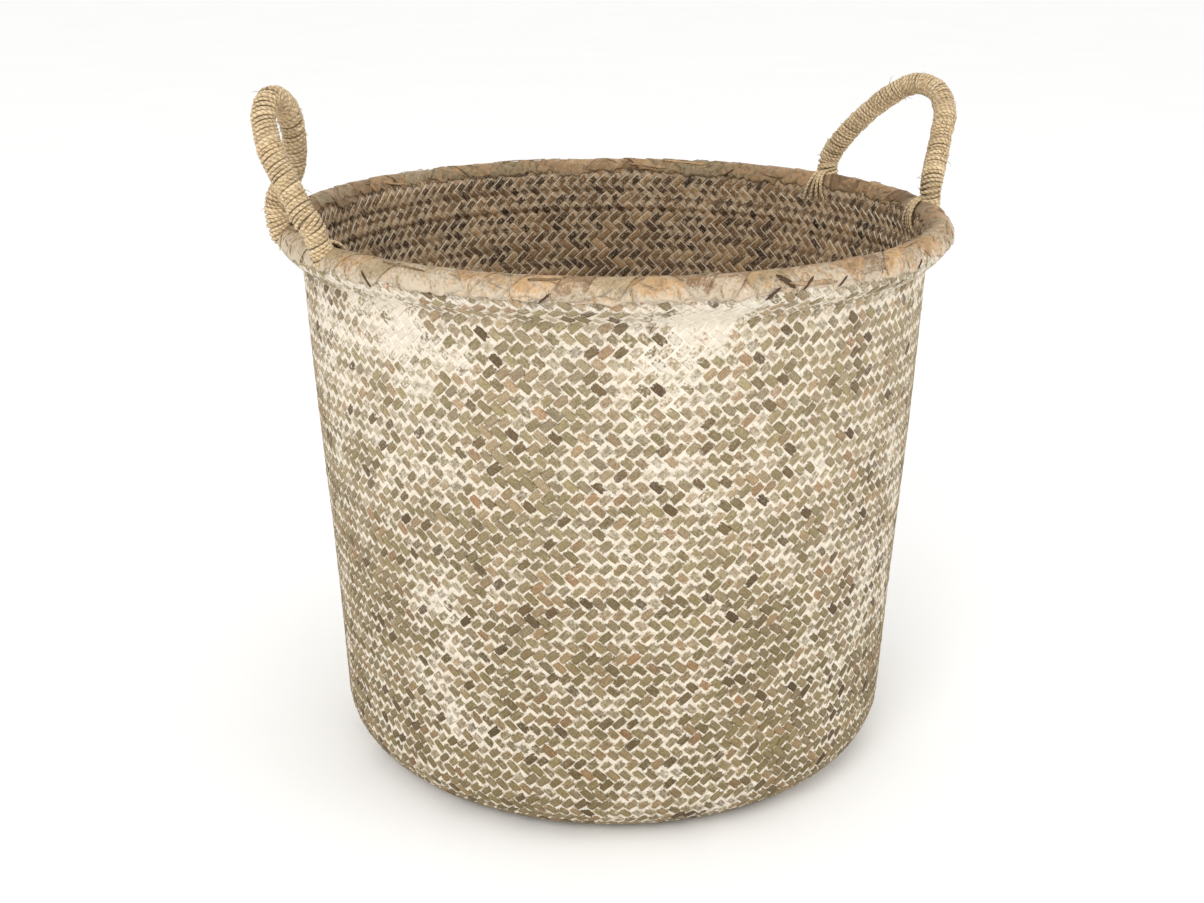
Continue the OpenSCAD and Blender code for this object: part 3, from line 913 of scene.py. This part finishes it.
def frames(line):
    """Two directions square to the line at each point, turned as little as possible along it."""
    tangent = unit(np.gradient(line, axis=0))
    first = unit(np.cross(tangent[0], [0.0, 0.0, 1.0] if abs(tangent[0][2]) < 0.9 else [1.0, 0.0, 0.0]))
    sides = [first]
    for t in tangent[1:]:
        side = sides[-1] - t * np.dot(sides[-1], t)
        sides.append(unit(side))
    side = np.array(sides)
    return side, np.cross(tangent, side)


def rope(side):
    """One handle: a straw core, three twines wound round it from foot to foot, and loose hairs."""
    line = resample(catmull_rom([handle_place(side, *p) for p in HANDLES[side]["route"]], 24), 0.36)
    distance = lengths(line)
    first, second = frames(line)
    bulge = 1 + wander(distance, 14.0, 0.03)
    bulge *= np.clip(np.minimum(distance, distance[-1] - distance) / 6 + 0.55, 0, 1)
    pieces = Pieces()
    coarse = slice(None, None, 5)
    core_size = CORE_R * bulge[coarse]
    pieces.sweep(line[coarse], first[coarse], core_size, core_size, CORE_NUMBER, distance[coarse],
                 round_section(12))
    samples_per_turn = 16
    for start in range(TWINE_STARTS):
        drift = wander(distance, 7.0, 0.22)
        turn = 2 * math.pi * (distance / (TWINE_PITCH * TWINE_STARTS) + start / TWINE_STARTS) + drift
        at = np.arange(turn[0], turn[-1], 2 * math.pi / samples_per_turn)
        place = np.interp(at, turn, np.arange(len(line)))
        low = np.minimum(place.astype(int), len(line) - 2)
        share = (place - low)[:, None]

        def between(values):
            """The values where the twine's points lie along the rope's line."""
            return values[low] * (1 - share) + values[low + 1] * share

        radial = unit(between(first) * np.cos(at)[:, None] + between(second) * np.sin(at)[:, None])
        size = between(bulge[:, None])
        stand = (ROPE_R - TWINE_R) * size * (1 + wander(at, 2.5, 0.02)[:, None])
        centre = between(line) + radial * stand
        thick = TWINE_R * (1 + wander(at, 3.0, 0.14))
        pieces.sweep(centre, radial, thick, thick, TWINE_NUMBERS + start, lengths(centre), round_section(8))
    for _ in range(HAIRS):
        spot = rng.integers(len(line) // 12, len(line) * 11 // 12)
        spin = rng.uniform(0, 2 * math.pi)
        away = first[spot] * math.cos(spin) + second[spot] * math.sin(spin)
        along = unit(np.gradient(line, axis=0)[spot]) * rng.uniform(-1, 1)
        reach = rng.uniform(2.0, 5.5)
        share = np.linspace(0, 1, 6)[:, None]
        stand = ROPE_R - 0.6 + reach * share * (1 - 0.35 * share)
        hair = line[spot] + away * stand + along * reach * share**1.5
        thick = np.linspace(0.22, 0.05, 6)
        facing = np.broadcast_to(along + [0.01, 0, 0.02], hair.shape)
        pieces.sweep(hair, facing, thick, thick, HAIR_NUMBERS + spot % 13, lengths(hair), round_section(4))
    stands_for = [f"{side}_rope_core", f"{side}_twine_wrap", f"{side}_back_foot", f"{side}_front_foot"]
    piece = pieces.build(f"{side}_handle_rope", TWINE, None, stands_for)
    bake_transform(piece)


def lashing(side, end):
    """Strands that tie a rope's end down: over the crest and fanning out on the inside of the rim."""
    pieces = Pieces()
    foot = handle_place(side, 0, HANDLES[side]["feet"][end], 0)
    angle = math.atan2(foot[1], foot[0])
    turn = np.array([62, 90, 118, 145, 168, 188, 203, 214], float)
    share = np.linspace(0, 1, len(turn))
    for number, fan in enumerate((-1.0, -0.25, 0.45, 1.15)):
        at = angle + (fan * (1.5 + 8.5 * share**1.2) + 0.5 * np.sin(6 * share + number)) / CREST_R
        lift = np.array([1.6, 2.6, 2.5, 2.2, 2.0, 1.7, 1.2, 0.2]) + 0.25 * (number % 2)
        centre = catmull_rom(roll_point(turn, at, lift), 6)
        outward = centre - on_ring(CREST_R, np.arctan2(centre[:, 1], centre[:, 0]), ROLL_Z)
        pieces.sweep(centre, outward, 1.25, 0.95, LASHING_NUMBERS + number, lengths(centre), round_section(8))
    pieces.build(f"{side}_{end}_lashing_strands", TWINE, "root", [f"{side}_{end}_lashing"])


# ---------------------------------------------------------------- stage


def camera():
    """Stands a little left of the front, and looks down on the basket from about head height."""
    data = bpy.data.cameras.new("camera")
    data.lens = 47.62
    data.sensor_width = 36.0
    made = bpy.data.objects.new("camera", data)
    made.location = (-0.3962, -0.8794, 0.5115)
    made.rotation_euler = (math.radians(71.065), 0.0, math.radians(-23.81))
    bpy.context.scene.collection.objects.link(made)
    bpy.context.scene.camera = made


def area_light(name, location, target, size, power):
    """A round light that faces its target."""
    data = bpy.data.lights.new(name, "AREA")
    data.shape = "DISK"
    data.size = size
    data.energy = power
    made = bpy.data.objects.new(name, data)
    made.location = location
    direction = np.array(target) - np.array(location)
    yaw = math.atan2(direction[0], -direction[1])
    pitch = math.atan2(math.hypot(direction[0], direction[1]), -direction[2])
    made.rotation_euler = (pitch, 0, yaw + math.pi)
    bpy.context.scene.collection.objects.link(made)


def stage():
    """A pale floor, an even white surround and two soft lights."""
    mesh = bpy.data.meshes.new("floor")
    half = 16.0
    corners = [(-half, -half, 0), (half, -half, 0), (half, half, 0), (-half, half, 0)]
    mesh.from_pydata(corners, [], [(0, 1, 2, 3)])
    mesh.materials.append(floor_material())
    floor = bpy.data.objects.new("floor", mesh)
    bpy.context.scene.collection.objects.link(floor)
    world = bpy.data.worlds.new("studio")
    world.use_nodes = True
    world.node_tree.nodes["Background"].inputs["Color"].default_value = (1.0, 1.0, 1.0, 1.0)
    world.node_tree.nodes["Background"].inputs["Strength"].default_value = 1.0
    bpy.context.scene.world = world
    bpy.context.scene.view_settings.view_transform = "Standard"
    middle = (0.0, 0.0, 0.18)
    area_light("key", (-1.7, -1.7, 1.9), middle, 1.4, 27)
    area_light("fill", (1.7, -1.5, 1.1), middle, 1.6, 10)


camera()
stage()
plaited_wall()
plaited_base()
leaf_band()
rim_strips()
rim_threads()
rim_bundle()
for handle_side in HANDLES:
    rope(handle_side)
    for foot_end in ("back", "front"):
        lashing(handle_side, foot_end)
